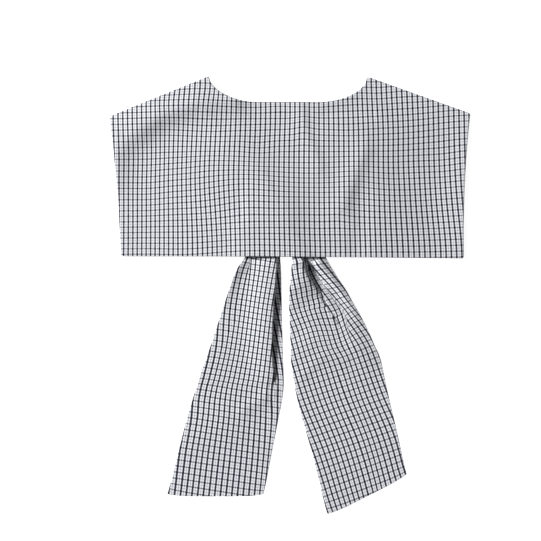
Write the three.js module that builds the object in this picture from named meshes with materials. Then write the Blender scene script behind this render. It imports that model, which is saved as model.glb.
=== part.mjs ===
// Boat-neck capelet in check cotton, lying flat: a whole front panel over two plain back halves,
// and a wide pleated tie sewn to the inside of each half at its lower centre corner.
// Millimetres, +Z up, +Y towards the neck. The origin is on the ground under the middle.
import * as THREE from "three";

// Cloth: two layers of cotton sewn together, and the small gap kept between pieces.
const PANEL_THICKNESS = 2;
const TIE_THICKNESS = 1.8;
const SEAM_GAP = 0.3;
const CORNER_RADIUS = 5;
const CLOTH_COLOR = "#aaabb0";

// Corners of the front panel before they are rounded.
const NECK_LEFT = { x: -130.5, y: 351 };
const NECK_RIGHT = { x: 126, y: 351 };
const SHOULDER_LEFT = { x: -288.2, y: 285.5 };
const SHOULDER_RIGHT = { x: 288.2, y: 290.5 };
const HEM_LEFT = { x: -269, y: 63.5 };
const HEM_RIGHT = { x: 277.5, y: 60 };
const SIDE_BOW_LEFT = { x: -272.5, y: 167 };
const SIDE_BOW_RIGHT = { x: 274, y: 170 };
const HEM_BOW = 1.2;

// Neckline: depth below the neck points, and the width and fullness of its curved ends.
const NECK_TOP = 350.2;
const NECK_DEPTH = 41.5;
const NECK_CURVE = 82;
const NECK_FULLNESS = 1.7;

// How the front panel stands above the ground: its underside rises from the seams to a crown.
const SEAM_LEVEL = PANEL_THICKNESS + SEAM_GAP;
const CROWN = 7.6;
const CROWN_FLAT_HALF = 85;
const CROWN_END = { left: 272, right: 280 };
const SHOULDER_SLOPE = 80;
const NECK_BLEND = { from: 50, to: 130 };

// Back halves.
const CENTRE_GAP = 6;
const BACK_NECK_EXTRA = 14;
const BACK_HEM_RISE = 10;
const BACK_INSET = 1;

// Folds of the front panel. Each runs through three places; across it, the cloth falls off over
// `left` on the left of its direction and over `right` on the other side. Valleys have height < 0.
const PANEL_FOLDS = [
  { x1: -272, y1: 217, x2: -197, y2: 287, x3: -72, y3: 292, left: 10, right: 12, height: -3 },
  { x1: 60, y1: 292, x2: 96, y2: 294, x3: 130, y3: 290, left: 9, right: 9, height: -1.6 },
  { x1: 19, y1: 300, x2: 24, y2: 265, x3: 48, y3: 209, left: 8, right: 18, height: 1.8 },
  { x1: 120, y1: 233, x2: 100, y2: 188, x3: 85, y3: 145, left: 13, right: 18, height: 3 },
  { x1: 106, y1: 160, x2: 106, y2: 110, x3: 100, y3: 70, left: 16, right: 16, height: -2 },
  { x1: -14, y1: 140, x2: -6, y2: 105, x3: 0, y3: 64, left: 28, right: 60, height: 2.2 },
  { x1: -88, y1: 241, x2: -45, y2: 185, x3: -8, y3: 129, left: 30, right: 45, height: 2.2 },
  { x1: 176, y1: 190, x2: 200, y2: 160, x3: 226, y3: 132, left: 24, right: 24, height: -1.6 },
];

// Ties, one row for each cross-section from the sewn end to the free end.
// The outer edge (ox, oy) and the inner edge (ix, iy) are where the cloth ends. The cloth comes in
// from the outer edge, folds at `strip` from the inner edge, tucks back `overlap` under itself and
// runs on to the inner edge. Where overlap is negative the pleat is open. `rise` is the height of
// one layer in the pleat, `base` the height of what the tie lies on, `swell` a soft hump.
const TIE_LEFT = [
  { ox: -46, oy: 114, ix: -11, iy: 114, strip: 5, overlap: 20, rise: 2.1, base: 2.3, swell: 0 },
  { ox: -54, oy: 88, ix: -13, iy: 88, strip: 5, overlap: 25, rise: 2.1, base: 2.3, swell: 0 },
  { ox: -68.5, oy: 62, ix: -15.5, iy: 62, strip: 5, overlap: 30, rise: 2.1, base: 2.3, swell: 0 },
  { ox: -87, oy: 36, ix: -14, iy: 36, strip: 8, overlap: 28, rise: 2.1, base: 0, swell: 1.2 },
  { ox: -105.5, oy: -16, ix: -13, iy: -16, strip: 13, overlap: 23, rise: 2.1, base: 0, swell: 1 },
  { ox: -126.5, oy: -80, ix: -11.5, iy: -80, strip: 17, overlap: 14, rise: 2.1, base: 0, swell: 0.5 },
  { ox: -143.5, oy: -128, ix: -11, iy: -128, strip: 16, overlap: 4, rise: 2.1, base: 0, swell: 0 },
  { ox: -149, oy: -146, ix: -11, iy: -146, strip: 17, overlap: -6, rise: 0.9, base: 0, swell: 0 },
  { ox: -156, oy: -168, ix: -13.5, iy: -168, strip: 18, overlap: -6, rise: 0.3, base: 0, swell: 0.8 },
  { ox: -165.5, oy: -200, ix: -20, iy: -200, strip: 18, overlap: -6, rise: 0, base: 0, swell: 1.2 },
  { ox: -180, oy: -258, ix: -31, iy: -258, strip: 18, overlap: -6, rise: 0, base: 0, swell: 0 },
  { ox: -196, oy: -321, ix: -43, iy: -321, strip: 18, overlap: -6, rise: 0, base: 0, swell: 0 },
];
const TIE_RIGHT = [
  { ox: 43, oy: 114, ix: 9, iy: 114, strip: 12, overlap: 12, rise: 2.1, base: 2.3, swell: 0 },
  { ox: 47, oy: 88, ix: 7, iy: 88, strip: 18, overlap: 13, rise: 2.1, base: 2.3, swell: 0 },
  { ox: 54.5, oy: 61, ix: 4, iy: 61, strip: 28, overlap: 13, rise: 2.1, base: 2.3, swell: 0 },
  { ox: 72, oy: 34.5, ix: 1.5, iy: 34.5, strip: 38, overlap: 11, rise: 2.1, base: 0, swell: 2 },
  { ox: 90, oy: 9, ix: -1, iy: 9, strip: 51, overlap: 7, rise: 2.1, base: 0, swell: 3 },
  { ox: 100.5, oy: -10, ix: -1.5, iy: -10, strip: 60, overlap: 3, rise: 2.1, base: 0, swell: 3 },
  { ox: 111.5, oy: -29, ix: -1, iy: -29, strip: 68, overlap: -6, rise: 1.4, base: 0, swell: 3 },
  { ox: 125, oy: -55, ix: 0, iy: -55, strip: 76, overlap: -8, rise: 0.8, base: 0, swell: 2.4 },
  { ox: 136, oy: -80.5, ix: 1, iy: -82, strip: 80, overlap: -8, rise: 0.4, base: 0, swell: 2 },
  { ox: 145.5, oy: -104, ix: 3, iy: -112, strip: 80, overlap: -8, rise: 0, base: 0, swell: 0.8 },
  { ox: 157, oy: -157, ix: 14.5, iy: -176, strip: 80, overlap: -8, rise: 0, base: 0, swell: 0 },
  { ox: 171.5, oy: -221, ix: 38.5, iy: -260, strip: 80, overlap: -8, rise: 0, base: 0, swell: 0 },
  { ox: 185.5, oy: -288, ix: 61, iy: -350, strip: 80, overlap: -8, rise: 0, base: 0, swell: 0 },
];
const FOLD_TURN = 1.1;
const LEVEL_SLOPE = 26;

// Fineness of the meshes, as numbers of steps.
const PANEL_ROWS = 22;
const SHOULDER_STEPS = 9;
const NECK_CROWDING = 1.7;
const NECK_CURVE_STEPS = 7;
const NECK_FLAT_STEPS = 12;
const MAIN_STEPS = 7;
const SECTION_STEPS = 2;
const OUTLINE_STEPS = 8;

const lerp = THREE.MathUtils.lerp;
const smooth = (value, from, to) => THREE.MathUtils.smoothstep(value, from, to);

// How far a rounded corner has drawn in at a distance from the corner.
function roundedInset(distance) {
  const rest = Math.max(CORNER_RADIUS - distance, 0);
  return CORNER_RADIUS - Math.sqrt(CORNER_RADIUS ** 2 - rest ** 2);
}
const CORNER_CUT = CORNER_RADIUS * (1 - Math.SQRT1_2);
const CORNER_STOPS = [CORNER_CUT, CORNER_RADIUS * 0.6, CORNER_RADIUS];

// A sheet with a thickness, closed all round, from walls[column][row] = { over, under }.
// Columns go to the right and rows go down, seen from above.
function sheetGeometry(walls) {
  const columns = walls.length;
  const rows = walls[0].length;
  const positions = [];
  const index = [];
  for (const side of ["over", "under"]) {
    for (const column of walls) {
      for (const wall of column) positions.push(...wall[side].toArray());
    }
  }
  const over = (i, j) => i * rows + j;
  const under = (i, j) => columns * rows + over(i, j);
  const quad = (a, b, c, d) => index.push(a, b, c, a, c, d);
  for (let i = 0; i + 1 < columns; i++) {
    for (let j = 0; j + 1 < rows; j++) {
      quad(over(i, j), over(i, j + 1), over(i + 1, j + 1), over(i + 1, j));
      quad(under(i, j), under(i + 1, j), under(i + 1, j + 1), under(i, j + 1));
    }
    quad(over(i, 0), over(i + 1, 0), under(i + 1, 0), under(i, 0));
    const last = rows - 1;
    quad(over(i + 1, last), over(i, last), under(i, last), under(i + 1, last));
  }
  for (let j = 0; j + 1 < rows; j++) {
    quad(over(0, j + 1), over(0, j), under(0, j), under(0, j + 1));
    const last = columns - 1;
    quad(over(last, j), over(last, j + 1), under(last, j + 1), under(last, j));
  }
  const geometry = new THREE.BufferGeometry();
  geometry.setAttribute("position", new THREE.Float32BufferAttribute(positions, 3));
  geometry.setIndex(index);
  geometry.computeVertexNormals();
  return geometry;
}

function clothMesh(name, geometry) {
  const material = new THREE.MeshStandardMaterial({
    color: CLOTH_COLOR,
    roughness: 0.95,
    metalness: 0,
  });
  const mesh = new THREE.Mesh(geometry, material);
  mesh.name = name;
  return mesh;
}

// The line of the shoulders, level between the two neck points.
function shoulderLine(x) {
  const left = x < NECK_LEFT.x;
  if (!left && x < NECK_RIGHT.x) return NECK_LEFT.y;
  const neck = left ? NECK_LEFT : NECK_RIGHT;
  const end = left ? SHOULDER_LEFT : SHOULDER_RIGHT;
  return lerp(neck.y, end.y, (x - neck.x) / (end.x - neck.x));
}

// How deep a boat neckline lies below the neck points.
function neckDip(x, depth) {
  const inside = Math.min(x - NECK_LEFT.x, NECK_RIGHT.x - x);
  if (inside <= 0) return 0;
  const left = Math.max(1 - inside / NECK_CURVE, 0);
  return depth * (1 - left ** NECK_FULLNESS) ** (1 / NECK_FULLNESS);
}

const topEdge = (x) =>
  Math.min(shoulderLine(x) - neckDip(x, NECK_DEPTH), NECK_TOP) -
  roundedInset(Math.min(x - SHOULDER_LEFT.x, SHOULDER_RIGHT.x - x));

function hemEdge(x) {
  const along = (x - HEM_LEFT.x) / (HEM_RIGHT.x - HEM_LEFT.x);
  const bow = HEM_BOW * 4 * along * (1 - along);
  return lerp(HEM_LEFT.y, HEM_RIGHT.y, along) + bow;
}

// A side edge as a bowed line from the shoulder end to the hem corner.
function sideEdge(top, bow, bottom, along) {
  const curve = new THREE.QuadraticBezierCurve(
    new THREE.Vector2(top.x, top.y),
    new THREE.Vector2(bow.x, bow.y),
    new THREE.Vector2(bottom.x, bottom.y),
  );
  return curve.getPoint(along);
}

// How far from a neck point a step of the curved neckline lies, closer together near the point.
const neckStep = (step, steps) => NECK_CURVE * (step / steps) ** NECK_CROWDING;

// The columns of the front panel, as places across its top edge from left to right.
function panelColumns() {
  const stops = CORNER_STOPS.map((stop) => SHOULDER_LEFT.x + stop);
  const span = (from, to, steps) => {
    for (let k = 1; k <= steps; k++) stops.push(lerp(from, to, k / steps));
  };
  span(SHOULDER_LEFT.x + CORNER_RADIUS, NECK_LEFT.x, SHOULDER_STEPS);
  for (let k = 1; k <= NECK_CURVE_STEPS; k++) {
    stops.push(NECK_LEFT.x + neckStep(k, NECK_CURVE_STEPS));
  }
  span(NECK_LEFT.x + NECK_CURVE, NECK_RIGHT.x - NECK_CURVE, NECK_FLAT_STEPS);
  for (let k = NECK_CURVE_STEPS - 1; k >= 0; k--) {
    stops.push(NECK_RIGHT.x - neckStep(k, NECK_CURVE_STEPS));
  }
  span(NECK_RIGHT.x, SHOULDER_RIGHT.x - CORNER_RADIUS, SHOULDER_STEPS);
  for (const stop of CORNER_STOPS.slice(0, -1).reverse()) stops.push(SHOULDER_RIGHT.x - stop);
  return stops;
}

// The rows of the front panel, as parts of the way from the top edge to the hem.
function panelRows() {
  const length = SHOULDER_LEFT.y - HEM_LEFT.y;
  const ends = CORNER_STOPS.map((stop) => stop / length);
  const rows = [...ends];
  const middle = 1 - 2 * ends[2];
  for (let k = 1; k < PANEL_ROWS; k++) rows.push(ends[2] + (middle * k) / PANEL_ROWS);
  rows.push(...ends.map((end) => 1 - end).reverse());
  return rows;
}

// A place on the front panel, from the four edges: `across` and `down` run from 0 to 1.
function panelPlace(topX, down) {
  const x0 = SHOULDER_LEFT.x + CORNER_CUT;
  const x1 = SHOULDER_RIGHT.x - CORNER_CUT;
  const across = (topX - x0) / (x1 - x0);
  const length = SHOULDER_LEFT.y - HEM_LEFT.y;
  const inset = roundedInset(down * length) + roundedInset((1 - down) * length);
  const left = sideEdge(SHOULDER_LEFT, SIDE_BOW_LEFT, HEM_LEFT, down);
  const right = sideEdge(SHOULDER_RIGHT, SIDE_BOW_RIGHT, HEM_RIGHT, down);
  const leftX = left.x + inset;
  const rightX = right.x - inset;
  const hemX = lerp(HEM_LEFT.x + CORNER_CUT, HEM_RIGHT.x - CORNER_CUT, across);
  const x = lerp(leftX, rightX, across);
  const hemCorner = Math.min(hemX - HEM_LEFT.x, HEM_RIGHT.x - hemX);
  const start = topEdge(topX);
  const end = hemEdge(hemX) + roundedInset(hemCorner);
  const first = CORNER_CUT / length;
  return { x, y: lerp(start, end, (down - first) / (1 - 2 * first)) };
}

// Height of one fold at a place: full on its line, falling off to either side and past its ends.
function foldHeight(fold, x, y) {
  const place = new THREE.Vector2(x, y);
  const points = [
    new THREE.Vector2(fold.x1, fold.y1),
    new THREE.Vector2(fold.x2, fold.y2),
    new THREE.Vector2(fold.x3, fold.y3),
  ];
  let nearest = Infinity;
  let width = fold.left;
  for (let k = 0; k < 2; k++) {
    const line = points[k + 1].clone().sub(points[k]);
    const offset = place.clone().sub(points[k]);
    const along = THREE.MathUtils.clamp(offset.dot(line) / line.lengthSq(), 0, 1);
    const distance = offset.distanceTo(line.clone().multiplyScalar(along));
    if (distance < nearest) {
      nearest = distance;
      width = line.cross(offset) > 0 ? fold.left : fold.right;
    }
  }
  return fold.height * Math.exp(-((nearest / width) ** 2));
}

// Height of the front panel's underside.
function panelLevel(x, y) {
  const end = x < 0 ? CROWN_END.left : CROWN_END.right;
  const across = 1 - smooth(Math.abs(x), CROWN_FLAT_HALF, end);
  const shoulder = smooth(shoulderLine(x) - y, 0, SHOULDER_SLOPE);
  const seamed = smooth(Math.abs(x), NECK_BLEND.from, NECK_BLEND.to);
  const crown = across * lerp(1, shoulder, seamed);
  let relief = 0;
  for (const fold of PANEL_FOLDS) relief += foldHeight(fold, x, y);
  return SEAM_LEVEL + CROWN * crown + relief * Math.sqrt(crown);
}

function frontPanel() {
  const rows = panelRows();
  const walls = panelColumns().map((topX) =>
    rows.map((down) => {
      const { x, y } = panelPlace(topX, down);
      const level = panelLevel(x, y);
      return {
        over: new THREE.Vector3(x, y, level + PANEL_THICKNESS),
        under: new THREE.Vector3(x, y, level),
      };
    }),
  );
  return clothMesh("front_panel", sheetGeometry(walls));
}

// A back half: a flat sheet from the centre gap to the side, a little inside the front's outline.
function backHalf(name, side) {
  const left = side < 0;
  const neck = left ? NECK_LEFT : NECK_RIGHT;
  const shoulder = left ? SHOULDER_LEFT : SHOULDER_RIGHT;
  const hem = left ? HEM_LEFT : HEM_RIGHT;
  const bow = left ? SIDE_BOW_LEFT : SIDE_BOW_RIGHT;
  const centreX = (side * CENTRE_GAP) / 2;
  const depth = NECK_DEPTH + BACK_NECK_EXTRA;
  const points = [];
  const hemY = (x) => hemEdge(x) + BACK_HEM_RISE;
  for (let k = 0; k <= OUTLINE_STEPS; k++) {
    const x = neck.x - side * neckStep(k, OUTLINE_STEPS);
    points.push([x, Math.min(neck.y - neckDip(x, depth), NECK_TOP) - BACK_INSET]);
  }
  points.push([centreX, neck.y - depth - BACK_INSET]);
  points.push([centreX, hemY(centreX) + CORNER_RADIUS]);
  points.push([centreX + side * CORNER_RADIUS, hemY(centreX)]);
  points.push([hem.x - side * (BACK_INSET + CORNER_RADIUS), hemY(hem.x)]);
  points.push([hem.x - side * BACK_INSET, hemY(hem.x) + CORNER_RADIUS]);
  for (let k = OUTLINE_STEPS - 1; k >= 1; k--) {
    const edge = sideEdge(shoulder, bow, hem, k / OUTLINE_STEPS);
    points.push([edge.x - side * BACK_INSET, edge.y]);
  }
  points.push([shoulder.x - side * BACK_INSET, shoulder.y - CORNER_RADIUS]);
  const inner = shoulder.x - side * CORNER_RADIUS;
  points.push([inner, shoulderLine(inner) - BACK_INSET]);
  const outline = new THREE.Shape(points.map(([x, y]) => new THREE.Vector2(x, y)));
  const options = { depth: PANEL_THICKNESS, bevelEnabled: false };
  return clothMesh(name, new THREE.ExtrudeGeometry(outline, options));
}

// A value that runs smoothly through the rows of a table, at a place between two rows.
function throughRows(table, place, column) {
  const last = table.length - 1;
  const row = Math.min(Math.floor(place), last - 1);
  const value = (k) => table[THREE.MathUtils.clamp(k, 0, last)][column];
  const [a, b, c, d] = [value(row - 1), value(row), value(row + 1), value(row + 2)];
  const part = place - row;
  const straight = lerp(b, c, part);
  const bend = ((c - a) * (1 - part) - (d - b) * part) * 0.5 - (c - b) * (1 - 2 * part);
  return straight + bend * part * (1 - part);
}

function sectionAt(table, place) {
  const section = {};
  for (const column of Object.keys(table[0])) section[column] = throughRows(table, place, column);
  return section;
}

// The middle of the cloth across a tie, from the outer edge to the inner edge: `reach` is the
// distance from the inner edge and `height` the height above what the tie lies on.
function tieProfile(section, width) {
  const { strip, overlap, rise, swell } = section;
  const tuck = strip + overlap;
  const folded = THREE.MathUtils.clamp(overlap / (2 * FOLD_TURN), 0, 1);
  const under = Math.max(tuck, strip);
  const slope = Math.min(LEVEL_SLOPE, width - under);
  const profile = [];
  for (let k = 0; k < MAIN_STEPS; k++) {
    const part = k / MAIN_STEPS;
    const reach = lerp(width, strip + FOLD_TURN, part);
    const level = 2 * (1 - smooth(reach, under, under + slope));
    const hump = swell * Math.sin(Math.PI * part) ** 2;
    profile.push({ reach, height: rise * level + hump });
  }
  const turn = FOLD_TURN * (2 * folded - 1);
  const turns = [
    [strip + FOLD_TURN, 2],
    [strip, 1.5],
    [strip + turn, 1],
    [(strip + tuck) / 2, 1],
    [tuck - turn, 1],
    [tuck, 0.5],
    [tuck - FOLD_TURN, 0],
    [Math.min(strip, tuck - FOLD_TURN) / 2, 0],
    [0, 0],
  ];
  for (const [reach, layers] of turns) profile.push({ reach, height: rise * layers });
  return profile;
}

// The two faces of the cloth at every point of a profile, in reach and height.
function profileWalls(profile) {
  return profile.map((point, k) => {
    const before = profile[Math.max(k - 1, 0)];
    const after = profile[Math.min(k + 1, profile.length - 1)];
    const along = new THREE.Vector2(before.reach - after.reach, after.height - before.height);
    along.normalize().multiplyScalar(TIE_THICKNESS / 2);
    const middle = point.height + TIE_THICKNESS / 2;
    return {
      over: { reach: point.reach + along.y, height: middle + along.x },
      under: { reach: point.reach - along.y, height: middle - along.x },
    };
  });
}

// One cross-section of a tie where it lies, its two edges drawn in by the inset.
function tieRow(section, inset) {
  const outer = new THREE.Vector2(section.ox, section.oy);
  const inner = new THREE.Vector2(section.ix, section.iy);
  const width = outer.distanceTo(inner);
  const across = outer.clone().sub(inner).divideScalar(width);
  const ground = Math.max(section.base, 0);
  const profile = tieProfile(section, width);
  profile[0].reach -= inset;
  profile[profile.length - 1].reach += inset;
  const place = ({ reach, height }) => {
    const foot = across.clone().multiplyScalar(reach).add(inner);
    return new THREE.Vector3(foot.x, foot.y, ground + Math.max(height, 0));
  };
  return profileWalls(profile).map(({ over, under }) => ({ over: place(over), under: place(under) }));
}

// A tie: its cross-sections from the table, the last ones drawn in to round its corners.
function tie(name, table) {
  const places = [];
  const steps = (table.length - 1) * SECTION_STEPS;
  for (let k = 0; k < steps; k++) places.push({ at: k / SECTION_STEPS, inset: 0 });
  const end = table.length - 1;
  const spacing = Math.hypot(table[end].oy - table[end - 1].oy, table[end].ox - table[end - 1].ox);
  for (const stop of [...CORNER_STOPS].reverse()) {
    places.push({ at: end - (stop - CORNER_CUT) / spacing, inset: roundedInset(stop) });
  }
  const rows = places.map(({ at, inset }) => tieRow(sectionAt(table, at), inset));
  const walls = rows[0].map((_, k) => rows.map((row) => row[k]));
  if (table[0].ox > table[0].ix) walls.reverse();
  return clothMesh(name, sheetGeometry(walls));
}

const capelet = new THREE.Group();
capelet.add(frontPanel());
capelet.add(backHalf("back_half_left", -1));
capelet.add(backHalf("back_half_right", 1));
capelet.add(tie("tie_left", TIE_LEFT));
capelet.add(tie("tie_right", TIE_RIGHT));

export default capelet;
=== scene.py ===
import math

import bpy
import numpy as np
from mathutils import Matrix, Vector


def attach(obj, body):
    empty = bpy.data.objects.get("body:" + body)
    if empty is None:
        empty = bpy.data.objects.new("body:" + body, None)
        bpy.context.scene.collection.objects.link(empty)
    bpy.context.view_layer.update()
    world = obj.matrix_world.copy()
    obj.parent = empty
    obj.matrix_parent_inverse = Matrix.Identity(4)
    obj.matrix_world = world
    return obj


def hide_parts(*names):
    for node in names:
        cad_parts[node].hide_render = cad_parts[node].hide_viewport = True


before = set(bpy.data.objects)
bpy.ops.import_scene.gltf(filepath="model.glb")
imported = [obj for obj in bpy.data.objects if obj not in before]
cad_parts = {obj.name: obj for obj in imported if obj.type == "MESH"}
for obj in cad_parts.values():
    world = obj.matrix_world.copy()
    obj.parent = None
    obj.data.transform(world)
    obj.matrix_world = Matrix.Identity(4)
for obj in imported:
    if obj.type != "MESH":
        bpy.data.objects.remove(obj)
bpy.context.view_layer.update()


# Front panel: two layers of yarn-dyed check cotton, sewn edge to edge, turned and pressed, so the
# edges are rolled and show no topstitching. It is joined to the back halves at the shoulders, and
# lies over the ties, which lift its middle.

# The outline: its corners, the x that each side bows towards, the bow of the hem, and the boat
# neckline, whose ends curve down over NECK_CURVE.
NECK_LEFT = (-129, 351)
NECK_RIGHT = (123.5, 351)
SHOULDER_LEFT = (-289, 286.5)
SHOULDER_RIGHT = (289, 292)
HEM_LEFT = (-271, 62.7)
HEM_RIGHT = (278.7, 59.3)
SIDE_BOW_LEFT = -274.3
SIDE_BOW_RIGHT = 275.7
HEM_BOW = 0.8
NECK_TOP = 349.6
NECK_DEPTH = 41.5
NECK_CURVE = 76
NECK_FULLNESS = 1.9
CORNER_RADIUS = 4
CORNER_CUT = CORNER_RADIUS * (1 - math.sqrt(0.5))

# The panel's underside lies at the seam's level along its edges, and higher by the crown over the
# ties. The crown is flat in the middle and runs out towards the sides. Outside the neckline, over
# NECK_BLEND from the middle, it also comes to run out towards the shoulders.
PANEL_THICKNESS = 2
SEAM_LEVEL = 2.3
CROWN = 7.6
CROWN_FLAT_HALF = 85
CROWN_END_LEFT = 272
CROWN_END_RIGHT = 280
SHOULDER_SLOPE = 80
NECK_BLEND = (50, 130)

# Each fold runs along a line. Across it the cloth falls off over `left` on the left of its
# direction and over `right` on the other side. Valleys have a height below nought, and a list
# gives the height at each point of the line where it isn't the same all along. Towards the sides
# and the shoulders the folds fade out.
PANEL_FOLDS = [
    dict(line=[(60, 292), (96, 294), (130, 290)], left=9, right=9, height=-1.3),
    dict(line=[(19, 300), (24, 265), (48, 209)], left=8, right=18, height=1.6),
    dict(line=[(120, 233), (100, 188), (85, 145)], left=13, right=18, height=2.3),
    dict(line=[(114, 160), (114, 110), (106, 70)], left=16, right=16, height=-1.5),
    dict(line=[(-14, 140), (0, 105), (10, 64)], left=28, right=60, height=[2, 2.4, 2.9]),
    dict(line=[(-88, 241), (-45, 185), (-8, 129)], left=30, right=45, height=2),
    dict(line=[(176, 190), (200, 160), (226, 132)], left=24, right=24, height=-0.9),
    dict(line=[(-72, 105), (-72, 58)], left=60, right=20, height=2.4),
]
FOLD_FADE = 24

# Round the left shoulder the cloth stands up, with the seam, and then steps down to the right.
# The right side's edge is up a little too. On the seam itself a rim has only a share of its height,
# and the rest comes within these widths of the shoulder and of the left side.
RAISED_RIMS = [
    dict(
        line=[(-283, 190), (-280, 230), (-264, 253), (-245, 268), (-210, 292), (-152, 312), (-96, 318)],
        left=80,
        right=25,
        height=[3.5, 5.5, 7.5, 10.5, 13, 13, 9.5],
    ),
    dict(line=[(290, 255), (281, 170), (282, 80)], left=40, right=34, height=[2, 3.5, 2.5]),
]
RIM_SHARE = 0.93
RIM_WIDTH = 24
SIDE_RIM_WIDTH = 14

# Handling has dragged the threads. Each row is one drag: the x and y of its place, how far it
# reaches in x and in y, and the counts that it shifts the check by, across and along.
CHECK_ACROSS = 8
CHECK_ALONG = 8.96
CHECK_START = (-1.6, 184.7)
PANEL_DRAGS = [
    (-300, 130, 115, 400, -2.15, 0),
    (290, 50, 150, 100, -1.6, 0),
    (-125, 65, 45, 75, -0.5, 0),
    (-160, 350, 90, 90, -0.85, 0),
    (150, 350, 80, 70, 0.55, 0),
    (140, 110, 50, 90, 0.2, 0),
    (-125, 190, 50, 50, 0.25, 0),
    (-10, 300, 50, 50, -0.2, 0),
    (20, 60, 90, 40, -0.2, 0),
    (-75, 175, 62, 36, 0, 1.2),
    (30, 147, 80, 36, 0, 0.9),
    (105, 185, 40, 35, 0, 0.55),
    (-55, 85, 80, 50, 0, 0.4),
    (150, 110, 80, 60, 0, 0.2),
    (-115, 265, 50, 25, 0, -0.35),
    (22, 268, 16, 30, 0, 0.4),
    (-280, 150, 60, 100, 0, -0.5),
    (-168, 80, 55, 55, 0, -0.35),
    (290, 300, 90, 110, 0, 1.5),
    (300, 150, 80, 100, 0, 0.6),
    (-10, 325, 70, 30, 0, -0.5),
    (-160, 330, 70, 60, 0, 0.35),
    (140, 330, 80, 50, 0, 0.75),
    (-125, 337, 25, 25, -0.4, 0),
    (-192, 308, 30, 22, 0.3, 0),
    (-240, 225, 40, 38, -0.2, 0),
    (-56, 278, 45, 50, -0.15, 0),
    (176, 217, 50, 40, 0.14, 0),
    (280, 185, 20, 120, -0.15, 0),
    (-224, 169, 30, 55, 0, -0.27),
    (-131, 209, 36, 20, 0, 0.3),
    (-51, 236, 24, 25, 0, -0.35),
    (-72, 137, 38, 18, 0, 0.28),
    (-16, 300, 30, 9, 0, 0.38),
    (44, 315, 18, 10, 0, -0.4),
    (96, 265, 36, 25, 0, -0.22),
    (248, 212, 32, 38, 0, -0.3),
    (77, 132, 20, 28, 0, 0.2),
    (-200, 332, 45, 14, 0, -0.35),
    (141, 326, 28, 30, 0, -0.3),
    (-152, 268, 40, 22, 0, -0.17),
]

UNDERSIDE_SHIFT = 0.4

# Distances from an edge at which the mesh has a line of points, and its spacing further in. Along
# the curve of the neckline its lines crowd towards the neck point.
RIM_STOPS = np.array([0, 0.15, 0.5, 1, 1.7, 2.6, 4, 6, 8])
MESH_STEP = 2.3
NECK_CROWDING = 1.7
NECK_CURVE_STEPS = 36

# How the edge rolls over: the width of the roll, how far up the thickness its seam lies, and the
# cloth that the roll hides, as a share of its width. The shoulders roll wider, with a lower seam.
# A place belongs to them where it lies this far from the middle, left or right, and its edge
# faces this much towards the neck end.
EDGE_ROLL = 2
SHOULDER_ROLL = 2.4
EDGE_SEAM = 0.35
SHOULDER_SEAM = 0.05
SHOULDER_FROM = (125, 135)
SHOULDER_FACING = (0.8, 0.9)
ROLLED_CLOTH = 0.55

# A millimetre in metres, and the least length that anything is divided by.
MM = 0.001
SHORTEST = 1e-6


def smooth(value, start, end):
    """A soft step from 0 at start to 1 at end."""
    part = np.clip((value - start) / (end - start), 0, 1)
    return part * part * (3 - 2 * part)


def mix(a, b, part):
    return a + (b - a) * part


def quarter_round(part):
    """Height of a quarter circle from its foot, at 0, to its top, at 1."""
    return np.sqrt(1 - (1 - np.clip(part, 0, 1)) ** 2)


def rounded_inset(distance):
    """How far a rounded corner has drawn in at a distance from the corner."""
    rest = np.maximum(CORNER_RADIUS - distance, 0)
    return CORNER_RADIUS - np.sqrt(CORNER_RADIUS**2 - rest**2)


def rolled_away(inside, roll):
    """The cloth that a rolled edge takes up, at a place this far inside it."""
    return ROLLED_CLOTH * roll * np.clip(1 - inside / roll, 0, 1) ** 2


def line_height(start, end, x):
    """Y of the straight line through two points."""
    return mix(start[1], end[1], (x - start[0]) / (end[0] - start[0]))


def shoulder_line(x):
    """The line of the shoulders, level between the two neck points."""
    sloping = np.minimum(
        line_height(NECK_LEFT, SHOULDER_LEFT, x), line_height(NECK_RIGHT, SHOULDER_RIGHT, x)
    )
    return np.minimum(NECK_LEFT[1], sloping)


def neck_dip(x, depth):
    """How deep a boat neckline lies below the neck points."""
    inside = np.clip(np.minimum(x - NECK_LEFT[0], NECK_RIGHT[0] - x), 0, None)
    left = np.clip(1 - inside / NECK_CURVE, 0, 1)
    return depth * (1 - left**NECK_FULLNESS) ** (1 / NECK_FULLNESS)


def top_edge(x, depth=NECK_DEPTH):
    return np.minimum(shoulder_line(x) - neck_dip(x, depth), NECK_TOP)


def hem_edge(x):
    along = (x - HEM_LEFT[0]) / (HEM_RIGHT[0] - HEM_LEFT[0])
    return mix(HEM_LEFT[1], HEM_RIGHT[1], along) + HEM_BOW * 4 * along * (1 - along)


def side_edge(top_x, bow, bottom_x, down):
    """X of a bowed side edge, from 0 down at the shoulder to 1 at the hem."""
    rest = 1 - down
    return top_x * rest * rest + bow * 2 * rest * down + bottom_x * down * down


def left_edge(down):
    return side_edge(SHOULDER_LEFT[0], SIDE_BOW_LEFT, HEM_LEFT[0], down)


def right_edge(down):
    return side_edge(SHOULDER_RIGHT[0], SIDE_BOW_RIGHT, HEM_RIGHT[0], down)


def spaced(start, end, step=MESH_STEP):
    """Places from start to end, about a step apart, without the start."""
    count = max(round(abs(end - start) / step), 1)
    return np.linspace(start, end, count + 1)[1:]


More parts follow.
